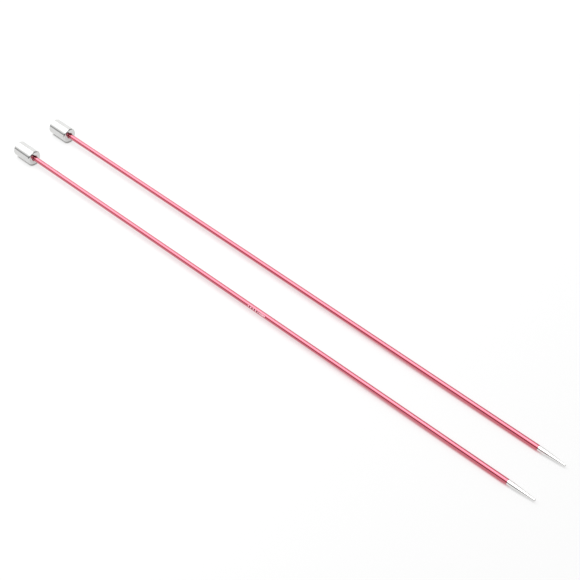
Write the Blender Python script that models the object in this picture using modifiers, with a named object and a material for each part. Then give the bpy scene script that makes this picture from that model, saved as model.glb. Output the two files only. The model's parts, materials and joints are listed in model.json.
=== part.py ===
"""A pair of straight knitting needles, lying side by side on a flat surface.

Each needle is three pieces: a hollow anodised aluminium shaft, a turned and plated brass tip
whose spigot is bonded into one end of the tube, and a turned aluminium head cap bored to
take the other end. Nothing moves inside a needle; the two needles are loose from each other.

Metres, +Z up. +X runs along the needles from the heads to the points, +Y from the first
needle to the second, and z = 0 is the surface that they lie on.
"""

import math

import bpy

COLLECTION_NAME = "straight_knitting_needles"

# Whole needle
NEEDLE_LENGTH = 0.350
SHAFT_RADIUS = 0.001375

# Tube of the shaft
TUBE_WALL = 0.0005
TUBE_END_CHAMFER = 0.00005
TUBE_INTO_HEAD = 0.0095

# Plated tip: a short parallel land, a taper and a small round end
TIP_LENGTH = 0.0146
TIP_LAND = 0.0035
TIP_END_RADIUS = 0.0006
TIP_ROUNDING_LENGTH = 0.0006
SPIGOT_LENGTH = 0.0100
SPIGOT_CHAMFER = 0.0002

# Head cap
HEAD_RADIUS = 0.00425
HEAD_LENGTH = 0.0131
HEAD_FRONT_ROUNDING = 0.0009
HEAD_REAR_ROUNDING = 0.0005
COUNTERSINK_RADIUS = 0.0018

# Bond line left between a piece and the piece that it is glued into
BOND_GAP = 0.00005

# How the two needles lie
HEAD_SPACING = 0.0263
POINT_SPACING = 0.0245
LENGTHWISE_OFFSET = 0.0010

# Facets
TURNED_STEPS = 48
ROUNDING_STEPS = 6


# Profiles are lists of (radius, height along the turning axis). The outer side runs from the
# end nearest the point down to the end nearest the head.

def arc(centre, across, along, start_deg, end_deg):
    """Points of an elliptical arc in the profile plane, both ends included.

    across and along are its half axes; 0 degrees points outward and 90 degrees to the point.
    """
    points = []
    for step in range(ROUNDING_STEPS + 1):
        angle = math.radians(start_deg + (end_deg - start_deg) * step / ROUNDING_STEPS)
        points.append((centre[0] + across * math.cos(angle), centre[1] + along * math.sin(angle)))
    return points


def shaft_profile():
    """Closed outline of the tube wall; height 0 is the end inside the head cap."""
    length = shaft_length()
    inner = SHAFT_RADIUS - TUBE_WALL
    chamfer = TUBE_END_CHAMFER
    return [
        (SHAFT_RADIUS - chamfer, length),
        (SHAFT_RADIUS, length - chamfer),
        (SHAFT_RADIUS, chamfer),
        (SHAFT_RADIUS - chamfer, 0.0),
        (inner + chamfer, 0.0),
        (inner, chamfer),
        (inner, length - chamfer),
        (inner + chamfer, length),
    ]


def tip_profile():
    """Open outline of the tip; height 0 is the point, and the tip lies below it."""
    spigot_radius = SHAFT_RADIUS - TUBE_WALL - BOND_GAP
    spigot_end = -TIP_LENGTH - SPIGOT_LENGTH
    rounding = arc((0.0, -TIP_ROUNDING_LENGTH), TIP_END_RADIUS, TIP_ROUNDING_LENGTH, 90.0, 0.0)
    rounding[0] = (0.0, 0.0)
    return rounding + [
        (SHAFT_RADIUS, TIP_LAND - TIP_LENGTH),
        (SHAFT_RADIUS, -TIP_LENGTH),
        (spigot_radius, -TIP_LENGTH),
        (spigot_radius, spigot_end + SPIGOT_CHAMFER),
        (spigot_radius - SPIGOT_CHAMFER, spigot_end),
        (0.0, spigot_end),
    ]


def head_cap_profile():
    """Open outline of the head cap; height 0 is its flat rear face."""
    bore_radius = SHAFT_RADIUS + BOND_GAP
    bore_floor = HEAD_LENGTH - TUBE_INTO_HEAD - BOND_GAP
    countersink_depth = COUNTERSINK_RADIUS - bore_radius
    front = arc(
        (HEAD_RADIUS - HEAD_FRONT_ROUNDING, HEAD_LENGTH - HEAD_FRONT_ROUNDING),
        HEAD_FRONT_ROUNDING, HEAD_FRONT_ROUNDING, 90.0, 0.0)
    rear = arc(
        (HEAD_RADIUS - HEAD_REAR_ROUNDING, HEAD_REAR_ROUNDING),
        HEAD_REAR_ROUNDING, HEAD_REAR_ROUNDING, 0.0, -90.0)
    mouth = [
        (0.0, bore_floor),
        (bore_radius, bore_floor),
        (bore_radius, HEAD_LENGTH - countersink_depth),
        (COUNTERSINK_RADIUS, HEAD_LENGTH),
    ]
    return mouth + front + rear + [(0.0, 0.0)]


# Where the pieces sit

def shaft_length():
    """The tube runs from inside the head cap to the tip's shoulder."""
    visible = NEEDLE_LENGTH - HEAD_LENGTH - TIP_LENGTH
    return visible + TUBE_INTO_HEAD - BOND_GAP


def resting_tilt():
    """Slope of a needle that rests on its head's front rim and on its tip's shoulder."""
    head_contact = NEEDLE_LENGTH - HEAD_LENGTH + HEAD_FRONT_ROUNDING
    shoulder_contact = TIP_LENGTH - TIP_LAND
    return math.atan2(HEAD_RADIUS - SHAFT_RADIUS, head_contact - shoulder_contact)


def point_height():
    """Height of the point's axis above the surface, for a needle at rest."""
    tilt = resting_tilt()
    return SHAFT_RADIUS * math.cos(tilt) - (TIP_LENGTH - TIP_LAND) * math.sin(tilt)


# Building

def clear_scene():
    for old in list(bpy.data.objects):
        bpy.data.objects.remove(old, do_unlink=True)


def metal(name, colour, roughness):
    material = bpy.data.materials.new(name)
    material.use_nodes = True
    shader = material.node_tree.nodes["Principled BSDF"]
    shader.inputs["Base Color"].default_value = (*colour, 1.0)
    shader.inputs["Metallic"].default_value = 1.0
    shader.inputs["Roughness"].default_value = roughness
    return material


def turned_mesh(name, profile, closed, material):
    """Turn a profile round the Z axis and return the finished mesh."""
    outline = bpy.data.meshes.new(name + "_outline")
    edges = [(i, i + 1) for i in range(len(profile) - 1)]
    if closed:
        edges.append((len(profile) - 1, 0))
    outline.from_pydata([(radius, 0.0, height) for radius, height in profile], edges, [])
    blank = bpy.data.objects.new(name + "_blank", outline)
    bpy.context.scene.collection.objects.link(blank)
    screw = blank.modifiers.new("Turn", "SCREW")
    screw.axis = "Z"
    screw.angle = 2.0 * math.pi
    screw.steps = TURNED_STEPS
    screw.render_steps = TURNED_STEPS
    screw.use_merge_vertices = True
    screw.merge_threshold = 0.000001
    evaluated = blank.evaluated_get(bpy.context.evaluated_depsgraph_get())
    mesh = bpy.data.meshes.new_from_object(evaluated)
    bpy.data.objects.remove(blank, do_unlink=True)
    bpy.data.meshes.remove(outline)
    mesh.name = name
    mesh.shade_smooth()
    mesh.set_sharp_from_angle(angle=math.radians(25.0))
    mesh.materials.append(material)
    return mesh


def place_piece(name, mesh, needle, height_on_needle, collection):
    """Put a turned piece on a needle; its turning axis becomes the needle's own X axis."""
    piece = bpy.data.objects.new(name, mesh)
    collection.objects.link(piece)
    piece.parent = needle
    piece.location = (height_on_needle, 0.0, 0.0)
    piece.rotation_euler = (0.0, math.radians(90.0), 0.0)
    return piece


def place_needle(name, side, collection):
    """Empty at a needle's point; side is -1 for the first needle and +1 for the second."""
    tilt = resting_tilt()
    yaw = math.asin((HEAD_SPACING - POINT_SPACING) / 2.0 / NEEDLE_LENGTH)
    half_run = NEEDLE_LENGTH * math.cos(tilt) / 2.0
    needle = bpy.data.objects.new(name, None)
    collection.objects.link(needle)
    needle.empty_display_size = 0.01
    needle.location = (
        half_run - side * LENGTHWISE_OFFSET / 2.0,
        side * POINT_SPACING / 2.0,
        point_height())
    needle.rotation_euler = (0.0, tilt, -side * yaw)
    return needle


def main():
    clear_scene()
    collection = bpy.data.collections.new(COLLECTION_NAME)
    bpy.context.scene.collection.children.link(collection)

    anodised = metal("anodised_pink_aluminium", (0.53, 0.13, 0.17), 0.12)
    plated = metal("plated_brass", (0.70, 0.70, 0.69), 0.08)
    turned = metal("polished_aluminium", (0.68, 0.68, 0.67), 0.09)

    shaft = turned_mesh("shaft", shaft_profile(), True, anodised)
    tip = turned_mesh("tip", tip_profile(), False, plated)
    head_cap = turned_mesh("head_cap", head_cap_profile(), False, turned)

    head_rear = -NEEDLE_LENGTH
    shaft_start = head_rear + HEAD_LENGTH - TUBE_INTO_HEAD
    for number, side in ((1, -1), (2, 1)):
        needle = place_needle(f"needle_{number}_point", side, collection)
        place_piece(f"needle_{number}_shaft", shaft, needle, shaft_start, collection)
        place_piece(f"needle_{number}_tip", tip, needle, 0.0, collection)
        place_piece(f"needle_{number}_head_cap", head_cap, needle, head_rear, collection)


main()
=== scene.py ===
"""Looks of a pair of straight knitting needles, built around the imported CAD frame.

Every piece is turned at high resolution about its needle's own axis. Its ends and its outer
radius are measured on the CAD node that it replaces, and its smaller details are the sizes
below. A needle's axes: origin in the middle of the head cap's flat end, +X along the needle
to the point, +Z up as nearly as the axis allows. Lengths are in metres.
"""

import json
import math

import bmesh
import bpy
from mathutils import Matrix, Vector


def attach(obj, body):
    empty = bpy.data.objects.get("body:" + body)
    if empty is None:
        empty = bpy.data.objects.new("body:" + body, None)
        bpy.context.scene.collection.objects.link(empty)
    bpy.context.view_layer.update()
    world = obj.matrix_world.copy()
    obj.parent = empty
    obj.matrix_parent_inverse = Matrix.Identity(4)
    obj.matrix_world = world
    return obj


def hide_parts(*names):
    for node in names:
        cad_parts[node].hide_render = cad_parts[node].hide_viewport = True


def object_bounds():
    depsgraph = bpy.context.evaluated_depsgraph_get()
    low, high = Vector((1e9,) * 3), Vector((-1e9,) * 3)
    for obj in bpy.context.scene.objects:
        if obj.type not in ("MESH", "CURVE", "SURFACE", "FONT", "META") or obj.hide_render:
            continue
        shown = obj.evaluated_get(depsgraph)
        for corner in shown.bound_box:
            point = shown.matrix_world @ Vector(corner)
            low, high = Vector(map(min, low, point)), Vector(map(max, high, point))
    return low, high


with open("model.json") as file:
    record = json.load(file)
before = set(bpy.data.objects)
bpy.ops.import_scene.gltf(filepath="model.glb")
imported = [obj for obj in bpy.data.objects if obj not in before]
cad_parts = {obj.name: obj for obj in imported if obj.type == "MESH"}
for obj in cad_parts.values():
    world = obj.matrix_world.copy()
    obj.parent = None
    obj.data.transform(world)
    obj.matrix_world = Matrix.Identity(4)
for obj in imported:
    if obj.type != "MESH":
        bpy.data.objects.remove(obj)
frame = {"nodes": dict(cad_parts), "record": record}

CAD_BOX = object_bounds()

# Turning
ROUND_STEPS = 144
ARC_STEPS = 12
SHARP_ANGLE = math.radians(22.0)

# Shaft
TUBE_WALL = 0.0005
SHAFT_END_CHAMFER = 0.00004

# Tip: a parallel land, a taper and a small round end
TIP_LENGTH = 0.0146
TIP_LAND = 0.0035
TIP_END_RADIUS = 0.0006
TIP_ROUNDING_LENGTH = 0.0006
TIP_SHOULDER_CHAMFER = 0.00004
SPIGOT_GAP = 0.00005
SPIGOT_CHAMFER = 0.0002

# Head cap
HEAD_FRONT_ROUNDING = 0.0009
HEAD_REAR_ROUNDING = 0.0005
COUNTERSINK_RADIUS = 0.0018
BORE_GAP = 0.00005

# Etched marks on the first needle: bold bars, then fine ticks. Lengths run from the head
# cap's flat end. Angles are in degrees, up from level on the side away from needle 2.
MARK_ANGLE = 31.0
MARK_HALF_HEIGHT = 16.0
BARS_START = 0.1784
BAR_PITCH = 0.00165
BAR_SHARE = 0.36
BAR_COUNT = 5
TICKS_START = 0.1862
TICK_PITCH = 0.0006
TICK_SHARE = 0.72
TICK_COUNT = 6

# Colours
WHITE = (1.0, 1.0, 1.0, 1.0)
DYE_DEEP = (0.565, 0.098, 0.143, 1.0)
DYE_PALE = (0.595, 0.110, 0.156, 1.0)
ETCHED_COLOUR = (0.80, 0.54, 0.59, 1.0)
MARK_GAP_COLOUR = (0.28, 0.045, 0.075, 1.0)

# Anodised finish. A noise scale is in cycles per metre, a stretch below 1 draws the noise out
# along an axis, and an edge pair is where a blend starts and where it is complete.
NO_STRETCH = (1.0, 1.0, 1.0)
DIE_LINE_STRETCH = (0.004, 1.0, 1.0)
DIE_LINE_SCALE = 9000.0
DIE_LINE_DETAIL = 3.0
DIE_LINE_DEPTH = 0.0000004
PATCH_STRETCH = (0.15, 1.0, 1.0)
PATCH_SCALE = 300.0
PATCH_TINT_EDGES = (0.3, 0.7)
PATCH_GLOSS_EDGES = (0.2, 0.8)
PIT_SCALE = 6000.0
PIT_DEPTH = 0.0000002
PLAIN_DETAIL = 2.0
SHAFT_ROUGHNESS = (0.08, 0.12)
COAT_WEIGHT = 0.75
COAT_IOR = 1.6
COAT_ROUGHNESS = 0.05
ETCHED_ROUGHNESS = 0.5
ETCHED_METAL = 0.3

# Turned finishes: fine rings left by the tool, and a soft haze from handling
RING_STRETCH = (1.0, 0.01, 0.01)
HAZE_DETAIL = 3.0
HAZE_TINT_EDGES = (0.3, 0.7)
NICKEL_PLATE = {
    "ring_scale": 12000.0,
    "ring_detail": 2.0,
    "ring_depth": 0.0000003,
    "haze_scale": 500.0,
    "tints": ((0.77, 0.767, 0.757, 1.0), (0.80, 0.797, 0.787, 1.0)),
    "gloss_edges": (0.3, 0.75),
    "roughness": (0.05, 0.10),
}
POLISHED_ALUMINIUM = {
    "ring_scale": 9000.0,
    "ring_detail": 3.0,
    "ring_depth": 0.0000005,
    "haze_scale": 350.0,
    "tints": ((0.62, 0.62, 0.61, 1.0), (0.65, 0.65, 0.645, 1.0)),
    "gloss_edges": (0.25, 0.75),
    "roughness": (0.06, 0.12),
}

# Studio light, as radiance by direction. X is a direction's part along the needles, and an
# angle is round the X axis, in degrees: 0 is level on the first needle's side, 90 is overhead.
LEFT_X = -0.65
RIGHT_X = -0.23
ROOM_RADIANCE = 1.1
STRIP_RADIANCE = 4.0
STRIP_EDGES = (34.0, 94.0)
BACK_RADIANCE_LEFT = 1.28
BACK_RADIANCE_RIGHT = 0.82
BACK_EDGES = (101.0, 126.0)
GAP_RADIANCE_LEFT = 0.42
GAP_RADIANCE_RIGHT = 0.20
GAP_TOP_LEFT = 26.0
GAP_TOP_RIGHT = 36.0
GAP_TOP_BLUR = 8.0
GAP_FOOT_LEFT = 5.0
GAP_FOOT_RIGHT = -2.0
GAP_FOOT_BLUR = 2.0
DARK_SIDE_RADIANCE = 0.15
DARK_SIDE_AXIS = (0.95, 0.3, 0.0)
DARK_SIDE_EDGES = (0.45, 0.65)
DARK_SIDE_TOP_EDGES = (0.90, 0.78)

# Light table. A span is a range of X. The glow fades along the first one. Along the others
# the painted contact shadow changes from the heads' grey to the shafts' pink, then to the tips'
# pale grey.
FLOOR_SIZE = 12.0
FLOOR_COLOUR = (0.17, 0.17, 0.17, 1.0)
FLOOR_ROUGHNESS = 0.9
FLOOR_SPECULAR = 0.2
FLOOR_GLOW_LEFT = 0.74
FLOOR_GLOW_RIGHT = 0.635
GLOW_SPAN = (-0.2, 0.3)
HEADS_END_SPAN = (-0.160, -0.150)
TIPS_START_SPAN = (0.158, 0.164)
OCCLUSION_SAMPLES = 16
# Painted contact shadow: within this reach of a needle the glow is darkened to these colours; the
# pink one, under the shafts, also paints light bounced off them.
PAINTED_SHADOW_REACH = 0.0013
PAINTED_SHADOW_EDGES = (0.2, 0.9)
PAINTED_SHADOW_GREY = (0.15, 0.145, 0.135, 1.0)
PAINTED_SHADOW_PINK = (0.66, 0.085, 0.13, 1.0)
PAINTED_SHADOW_TIP = (0.80, 0.80, 0.80, 1.0)
# Painted bounce light: a faint pink tint on the glow within this reach of a shaft.
PAINTED_BOUNCE_REACH = 0.0035
PAINTED_BOUNCE_EDGES = (0.45, 1.0)
PAINTED_BOUNCE_PINK = (1.0, 0.84, 0.86, 1.0)

# Camera
CAMERA_LENS = 80.69
CAMERA_SENSOR = 36.0
CAMERA_AZIMUTH = math.radians(42.80)
CAMERA_ELEVATION = math.radians(45.25)
CAMERA_DISTANCE = 0.6547
CAMERA_TARGET_OFFSET = Vector((0.0095, 0.0107, 0.0))
CAMERA_NEAR = 0.01

# Sockets of a Mix node: factor, first and second, for numbers and for colours
NUMBER_MIX_INPUTS = (0, 2, 3)
COLOUR_MIX_INPUTS = (0, 6, 7)
COLOUR_MIX_OUTPUT = 2


# ---------------------------------------------------------------- measuring the frame

def needle_axes(number):
    """Axes of a needle, from the mount on its head cap's flat end."""
    name = f"needle_{number}_cap_end"
    mount = next(m for m in frame["record"]["mounts"] if m["name"] == name)
    along = -Vector(mount["axis"]).normalized()
    across = Vector((0.0, 0.0, 1.0)).cross(along).normalized()
    up = along.cross(across)
    axes = Matrix((along, across, up)).transposed().to_4x4()
    axes.translation = Vector(mount["pos_m"])
    return axes


def measure(node, axes):
    """(start, end, outer radius) of a CAD node along and about a needle's axis."""
    to_needle = axes.inverted()
    points = [to_needle @ vertex.co for vertex in frame["nodes"][node].data.vertices]
    along = [point.x for point in points]
    return min(along), max(along), max(math.hypot(point.y, point.z) for point in points)


# ---------------------------------------------------------------- turned shapes

def arc(centre_x, centre_r, along, outward, start_deg, end_deg):
    """Points (x, r) of an elliptical arc with those half axes; 90 degrees points outward."""
    points = []
    for step in range(ARC_STEPS + 1):
        angle = math.radians(start_deg + (end_deg - start_deg) * step / ARC_STEPS)
        points.append((centre_x + along * math.cos(angle), centre_r + outward * math.sin(angle)))
    return points


def turn(name, outline, closed=False):
    """Turn an outline of (x, r) points about the X axis; a point with r = 0 is on the axis."""
    mesh = bpy.data.meshes.new(name)
    build = bmesh.new()
    rings = []
    for x, r in outline:
        if r == 0.0:
            rings.append([build.verts.new((x, 0.0, 0.0))])
            continue
        angles = (2.0 * math.pi * step / ROUND_STEPS for step in range(ROUND_STEPS))
        rings.append([build.verts.new((x, r * math.cos(a), r * math.sin(a))) for a in angles])
    pairs = list(zip(rings, rings[1:]))
    if closed:
        pairs.append((rings[-1], rings[0]))
    for first, second in pairs:
        for step in range(ROUND_STEPS):
            after = (step + 1) % ROUND_STEPS
            near = [first[0]] if len(first) == 1 else [first[step], first[after]]
            far = [second[0]] if len(second) == 1 else [second[after], second[step]]
            build.faces.new(near + far)
    bmesh.ops.recalc_face_normals(build, faces=build.faces)
    build.to_mesh(mesh)
    build.free()
    mesh.shade_smooth()
    mesh.set_sharp_from_angle(angle=SHARP_ANGLE)
    piece = bpy.data.objects.new(name, mesh)
    bpy.context.scene.collection.objects.link(piece)
    return piece


def shaft_outline(start, end, radius):
    inner = radius - TUBE_WALL
    chamfer = SHAFT_END_CHAMFER
    return [
        (start, inner + chamfer), (start, radius - chamfer), (start + chamfer, radius),
        (end - chamfer, radius), (end, radius - chamfer), (end, inner + chamfer),
        (end - chamfer, inner), (start + chamfer, inner)]


def tip_outline(start, end, radius):
    """The spigot starts inside the tube; the shoulder is where the tube ends."""
    shoulder = end - TIP_LENGTH
    spigot = radius - TUBE_WALL - SPIGOT_GAP
    nose = arc(
        end - TIP_ROUNDING_LENGTH, 0.0, TIP_ROUNDING_LENGTH, TIP_END_RADIUS, 90.0, 0.0)
    nose[-1] = (end, 0.0)
    return [
        (start, 0.0), (start, spigot - SPIGOT_CHAMFER), (start + SPIGOT_CHAMFER, spigot),
        (shoulder, spigot), (shoulder, radius - TIP_SHOULDER_CHAMFER),
        (shoulder + TIP_SHOULDER_CHAMFER, radius), (shoulder + TIP_LAND, radius)] + nose


def head_outline(length, radius, shaft_radius, bore_floor):
    bore = shaft_radius + BORE_GAP
    rear = arc(
        HEAD_REAR_ROUNDING, radius - HEAD_REAR_ROUNDING,
        HEAD_REAR_ROUNDING, HEAD_REAR_ROUNDING, 180.0, 90.0)
    front = arc(
        length - HEAD_FRONT_ROUNDING, radius - HEAD_FRONT_ROUNDING,
        HEAD_FRONT_ROUNDING, HEAD_FRONT_ROUNDING, 90.0, 0.0)
    mouth = [
        (length, COUNTERSINK_RADIUS), (length - (COUNTERSINK_RADIUS - bore), bore),
        (bore_floor, bore), (bore_floor, 0.0)]
    return [(0.0, 0.0)] + rear + front + mouth


# ---------------------------------------------------------------- materials

class Nodes:
    """Short spellings for building one node tree."""

    def __init__(self, tree):
        self.tree = tree

    def add(self, kind, **settings):
        node = self.tree.nodes.new(kind)
        for name, value in settings.items():
            setattr(node, name, value)
        return node

    def feed(self, socket, value):
        if isinstance(value, bpy.types.NodeSocket):
            self.tree.links.new(value, socket)
        elif value is not None:
            socket.default_value = value

    def math(self, operation, first, second=None):
        node = self.add("ShaderNodeMath", operation=operation)
        self.feed(node.inputs[0], first)
        self.feed(node.inputs[1], second)
        return node.outputs[0]

    def dot(self, vector, constant):
        node = self.add("ShaderNodeVectorMath", operation="DOT_PRODUCT")
        self.feed(node.inputs[0], vector)
        node.inputs[1].default_value = constant
        return node.outputs["Value"]

    def ramp(self, value, low, high, to_low=0.0, to_high=1.0):
        """Smooth step from to_low to to_high as value goes from low to high."""
        node = self.add("ShaderNodeMapRange", interpolation_type="SMOOTHSTEP")
        for socket, number in zip(node.inputs, (value, low, high, to_low, to_high)):
            self.feed(socket, number)
        return node.outputs[0]

    def noise(self, vector, stretch, scale, detail=PLAIN_DETAIL):
        """Noise at a place; stretch is one factor for each axis."""
        mapping = self.add("ShaderNodeMapping")
        self.feed(mapping.inputs["Vector"], vector)
        mapping.inputs["Scale"].default_value = stretch
        node = self.add("ShaderNodeTexNoise")
        self.feed(node.inputs["Vector"], mapping.outputs[0])
        node.inputs["Scale"].default_value = scale
        node.inputs["Detail"].default_value = detail
        return node.outputs["Fac"]

    def blend(self, factor, first, second):
        """Number between first and second."""
        node = self.add("ShaderNodeMix", data_type="FLOAT")
        for index, value in zip(NUMBER_MIX_INPUTS, (factor, first, second)):
            self.feed(node.inputs[index], value)
        return node.outputs[0]

    def mix(self, factor, first, second):
        """Colour between first and second."""
        node = self.add("ShaderNodeMix", data_type="RGBA")
        for index, value in zip(COLOUR_MIX_INPUTS, (factor, first, second)):
            self.feed(node.inputs[index], value)
        return node.outputs[COLOUR_MIX_OUTPUT]

    def openness(self, reach):
        """1 where nothing lies within reach of the surface, 0 where it is fully covered."""
        node = self.add("ShaderNodeAmbientOcclusion", samples=OCCLUSION_SAMPLES)
        node.inputs["Distance"].default_value = reach
        return node.outputs["AO"]

    def bump(self, height, distance, normal=None):
        node = self.add("ShaderNodeBump")
        node.inputs["Strength"].default_value = 1.0
        node.inputs["Distance"].default_value = distance
        self.feed(node.inputs["Height"], height)
        if normal is not None:
            self.feed(node.inputs["Normal"], normal)
        return node.outputs[0]


def start_material(name):
    material = bpy.data.materials.new(name)
    material.use_nodes = True
    nodes = Nodes(material.node_tree)
    shader = material.node_tree.nodes["Principled BSDF"]
    place = nodes.add("ShaderNodeTexCoord").outputs["Object"]
    return material, nodes, shader, place


def strokes(nodes, along, start, pitch, share, count):
    """1 on count strokes of share times pitch each, along the needle from start."""
    steps = nodes.math("DIVIDE", nodes.math("SUBTRACT", along, start), pitch)
    on_stroke = nodes.math("LESS_THAN", nodes.math("FRACT", steps), share)
    within = nodes.math(
        "MULTIPLY", nodes.math("GREATER_THAN", steps, 0.0), nodes.math("LESS_THAN", steps, count))
    return nodes.math("MULTIPLY", on_stroke, within)


def etched_marks(nodes, place):
    """Two masks: 1 on the etched marks, and 1 all along the bars, their dark gaps included."""
    along = nodes.dot(place, (1.0, 0.0, 0.0))
    angle = nodes.math(
        "ARCTAN2", nodes.dot(place, (0.0, 0.0, 1.0)), nodes.dot(place, (0.0, -1.0, 0.0)))
    off_centre = nodes.math("ABSOLUTE", nodes.math("SUBTRACT", angle, math.radians(MARK_ANGLE)))
    in_band = nodes.math("LESS_THAN", off_centre, math.radians(MARK_HALF_HEIGHT))
    bars = strokes(nodes, along, BARS_START, BAR_PITCH, BAR_SHARE, BAR_COUNT)
    ticks = strokes(nodes, along, TICKS_START, TICK_PITCH, TICK_SHARE, TICK_COUNT)
    bar_run = strokes(nodes, along, BARS_START, BAR_PITCH, 1.0, BAR_COUNT)
    etched = nodes.math("MULTIPLY", in_band, nodes.math("ADD", bars, ticks))
    return etched, nodes.math("MULTIPLY", in_band, bar_run)


def anodised_material(name, marked):
    """Dyed, sealed oxide on a drawn tube: fine lengthwise die lines under a clear gloss."""
    material, nodes, shader, place = start_material(name)
    die_lines = nodes.noise(place, DIE_LINE_STRETCH, DIE_LINE_SCALE, DIE_LINE_DETAIL)
    patches = nodes.noise(place, PATCH_STRETCH, PATCH_SCALE)
    pits = nodes.noise(place, NO_STRETCH, PIT_SCALE)
    dye = nodes.mix(nodes.ramp(patches, *PATCH_TINT_EDGES), DYE_DEEP, DYE_PALE)
    gloss = nodes.ramp(patches, *PATCH_GLOSS_EDGES, *SHAFT_ROUGHNESS)
    metal = 1.0
    if marked:
        etched, gaps = etched_marks(nodes, place)
        dye = nodes.mix(gaps, dye, MARK_GAP_COLOUR)
        dye = nodes.mix(etched, dye, ETCHED_COLOUR)
        gloss = nodes.blend(etched, gloss, ETCHED_ROUGHNESS)
        metal = nodes.blend(etched, 1.0, ETCHED_METAL)
    nodes.feed(shader.inputs["Base Color"], dye)
    nodes.feed(shader.inputs["Metallic"], metal)
    nodes.feed(shader.inputs["Roughness"], gloss)
    shader.inputs["Coat Weight"].default_value = COAT_WEIGHT
    shader.inputs["Coat IOR"].default_value = COAT_IOR
    shader.inputs["Coat Roughness"].default_value = COAT_ROUGHNESS
    relief = nodes.bump(die_lines, DIE_LINE_DEPTH)
    relief = nodes.bump(pits, PIT_DEPTH, relief)
    nodes.feed(shader.inputs["Normal"], relief)
    return material


def turned_material(name, finish):
    """Bright turned metal with faint rings round its axis and a haze of handling."""
    material, nodes, shader, place = start_material(name)
    rings = nodes.noise(place, RING_STRETCH, finish["ring_scale"], finish["ring_detail"])
    haze = nodes.noise(place, NO_STRETCH, finish["haze_scale"], HAZE_DETAIL)
    tint = nodes.mix(nodes.ramp(haze, *HAZE_TINT_EDGES), *finish["tints"])
    gloss = nodes.ramp(haze, *finish["gloss_edges"], *finish["roughness"])
    nodes.feed(shader.inputs["Base Color"], tint)
    shader.inputs["Metallic"].default_value = 1.0
    nodes.feed(shader.inputs["Roughness"], gloss)
    nodes.feed(shader.inputs["Normal"], nodes.bump(rings, finish["ring_depth"]))
    return material


# ---------------------------------------------------------------- pieces

def place_piece(piece, number, node, axes, material):
    piece.matrix_world = axes
    piece.data.materials.append(material)
    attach(piece, f"needle_{number}")
    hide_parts(node)


def build_needle(number, anodised, plated, polished):
    axes = needle_axes(number)
    shaft_node = f"needle_{number}_shaft"
    tip_node = f"needle_{number}_tip"
    head_node = f"needle_{number}_head_cap"
    shaft_start, shaft_end, shaft_radius = measure(shaft_node, axes)
    tip_start, tip_end, tip_radius = measure(tip_node, axes)
    _, head_length, head_radius = measure(head_node, axes)

    shaft = turn(
        f"anodised_shaft_{number}",
        shaft_outline(shaft_start, shaft_end, shaft_radius),
        closed=True)
    place_piece(shaft, number, shaft_node, axes, anodised)
    tip = turn(f"plated_tip_{number}", tip_outline(tip_start, tip_end, tip_radius))
    place_piece(tip, number, tip_node, axes, plated)
    bore_floor = shaft_start - BORE_GAP
    head = turn(
        f"polished_head_cap_{number}",
        head_outline(head_length, head_radius, shaft_radius, bore_floor))
    place_piece(head, number, head_node, axes, polished)


# ---------------------------------------------------------------- studio

def studio_world():
    """Light of a pale room with a long soft strip overhead, parallel to the needles.

    Past the strip, behind the second needle, the room is a little brighter towards the heads.
    A dim gap lies low on the first needle's side, and a dark patch lies beyond the points.
    """
    world = bpy.data.worlds.new("studio")
    bpy.context.scene.world = world
    world.use_nodes = True
    nodes = Nodes(world.node_tree)
    direction = nodes.add("ShaderNodeTexCoord").outputs["Generated"]
    rise = nodes.dot(direction, (0.0, 0.0, 1.0))
    forward = nodes.dot(direction, (0.0, -1.0, 0.0))
    rightward = nodes.dot(direction, (1.0, 0.0, 0.0))
    angle = nodes.math("MULTIPLY", nodes.math("ARCTAN2", rise, forward), math.degrees(1.0))

    def across(left, right):
        """Amount that changes from left to right along the X axis."""
        return nodes.ramp(rightward, LEFT_X, RIGHT_X, left, right)

    light = nodes.ramp(angle, *STRIP_EDGES, ROOM_RADIANCE, STRIP_RADIANCE)
    back = across(BACK_RADIANCE_LEFT, BACK_RADIANCE_RIGHT)
    light = nodes.blend(nodes.ramp(angle, *BACK_EDGES), light, back)
    above_top = nodes.math("SUBTRACT", angle, across(GAP_TOP_LEFT, GAP_TOP_RIGHT))
    above_foot = nodes.math("SUBTRACT", angle, across(GAP_FOOT_LEFT, GAP_FOOT_RIGHT))
    gap = nodes.math(
        "MULTIPLY",
        nodes.ramp(above_top, GAP_TOP_BLUR, -GAP_TOP_BLUR),
        nodes.ramp(above_foot, -GAP_FOOT_BLUR, GAP_FOOT_BLUR))
    light = nodes.blend(gap, light, across(GAP_RADIANCE_LEFT, GAP_RADIANCE_RIGHT))
    dark_side = nodes.math(
        "MULTIPLY",
        nodes.ramp(nodes.dot(direction, DARK_SIDE_AXIS), *DARK_SIDE_EDGES),
        nodes.ramp(rise, *DARK_SIDE_TOP_EDGES))
    light = nodes.blend(dark_side, light, DARK_SIDE_RADIANCE)
    background = world.node_tree.nodes["Background"]
    background.inputs["Color"].default_value = WHITE
    nodes.feed(background.inputs["Strength"], light)


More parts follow.
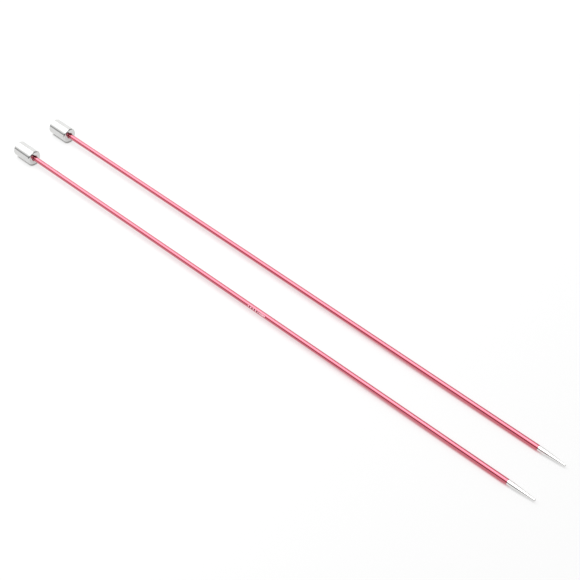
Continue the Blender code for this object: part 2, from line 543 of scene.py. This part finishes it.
def floor():
    """A pale light table that glows a little less towards the points.

    Where a needle all but touches it, a painted contact shadow darkens the glow, pink under a
    shaft for painted light bounced off it. A faint painted pink halo of bounced light lies beside
    the shafts.
    """
    build = bmesh.new()
    bmesh.ops.create_grid(build, x_segments=1, y_segments=1, size=FLOOR_SIZE / 2.0)
    mesh = bpy.data.meshes.new("floor")
    build.to_mesh(mesh)
    build.free()
    ground = bpy.data.objects.new("floor", mesh)
    bpy.context.scene.collection.objects.link(ground)
    ground.location.z = CAD_BOX[0].z
    material, nodes, shader, place = start_material("studio_floor")
    side = nodes.dot(place, (1.0, 0.0, 0.0))
    past_heads = nodes.ramp(side, *HEADS_END_SPAN)
    at_tips = nodes.ramp(side, *TIPS_START_SPAN)
    along_shafts = nodes.math("SUBTRACT", past_heads, at_tips)
    # Painted bounce light: the glow is tinted pink beside the shafts.
    painted_bounce = nodes.mix(nodes.ramp(nodes.openness(PAINTED_BOUNCE_REACH), *PAINTED_BOUNCE_EDGES), PAINTED_BOUNCE_PINK, WHITE)
    glow = nodes.mix(along_shafts, WHITE, painted_bounce)
    # Painted contact shadow: near a needle the glow turns grey at the heads, pink under the
    # shafts and pale grey at the tips.
    painted_shadow = nodes.mix(past_heads, PAINTED_SHADOW_GREY, PAINTED_SHADOW_PINK)
    painted_shadow = nodes.mix(at_tips, painted_shadow, PAINTED_SHADOW_TIP)
    glow = nodes.mix(nodes.ramp(nodes.openness(PAINTED_SHADOW_REACH), *PAINTED_SHADOW_EDGES), painted_shadow, glow)
    shader.inputs["Base Color"].default_value = FLOOR_COLOUR
    nodes.feed(shader.inputs["Emission Color"], glow)
    nodes.feed(
        shader.inputs["Emission Strength"],
        nodes.ramp(side, *GLOW_SPAN, FLOOR_GLOW_LEFT, FLOOR_GLOW_RIGHT))
    shader.inputs["Roughness"].default_value = FLOOR_ROUGHNESS
    shader.inputs["Specular IOR Level"].default_value = FLOOR_SPECULAR
    mesh.materials.append(material)


def camera():
    low, high = (Vector(corner) for corner in CAD_BOX)
    centre = (low + high) / 2.0
    target = Vector((centre.x, centre.y, low.z)) + CAMERA_TARGET_OFFSET
    back = Vector((
        math.sin(CAMERA_AZIMUTH) * math.cos(CAMERA_ELEVATION),
        -math.cos(CAMERA_AZIMUTH) * math.cos(CAMERA_ELEVATION),
        math.sin(CAMERA_ELEVATION)))
    view = bpy.data.cameras.new("camera")
    view.lens = CAMERA_LENS
    view.sensor_width = CAMERA_SENSOR
    view.clip_start = CAMERA_NEAR
    eye = bpy.data.objects.new("camera", view)
    bpy.context.scene.collection.objects.link(eye)
    eye.location = target + back * CAMERA_DISTANCE
    eye.rotation_euler = (-back).to_track_quat("-Z", "Y").to_euler()
    bpy.context.scene.camera = eye


def main():
    marked = anodised_material("anodised_pink_aluminium_marked", True)
    plain = anodised_material("anodised_pink_aluminium", False)
    plated = turned_material("nickel_plated_brass", NICKEL_PLATE)
    polished = turned_material("polished_aluminium", POLISHED_ALUMINIUM)
    for number, anodised in ((1, marked), (2, plain)):
        build_needle(number, anodised, plated, polished)
    studio_world()
    floor()
    camera()
    bpy.context.scene.view_settings.view_transform = "Standard"


main()
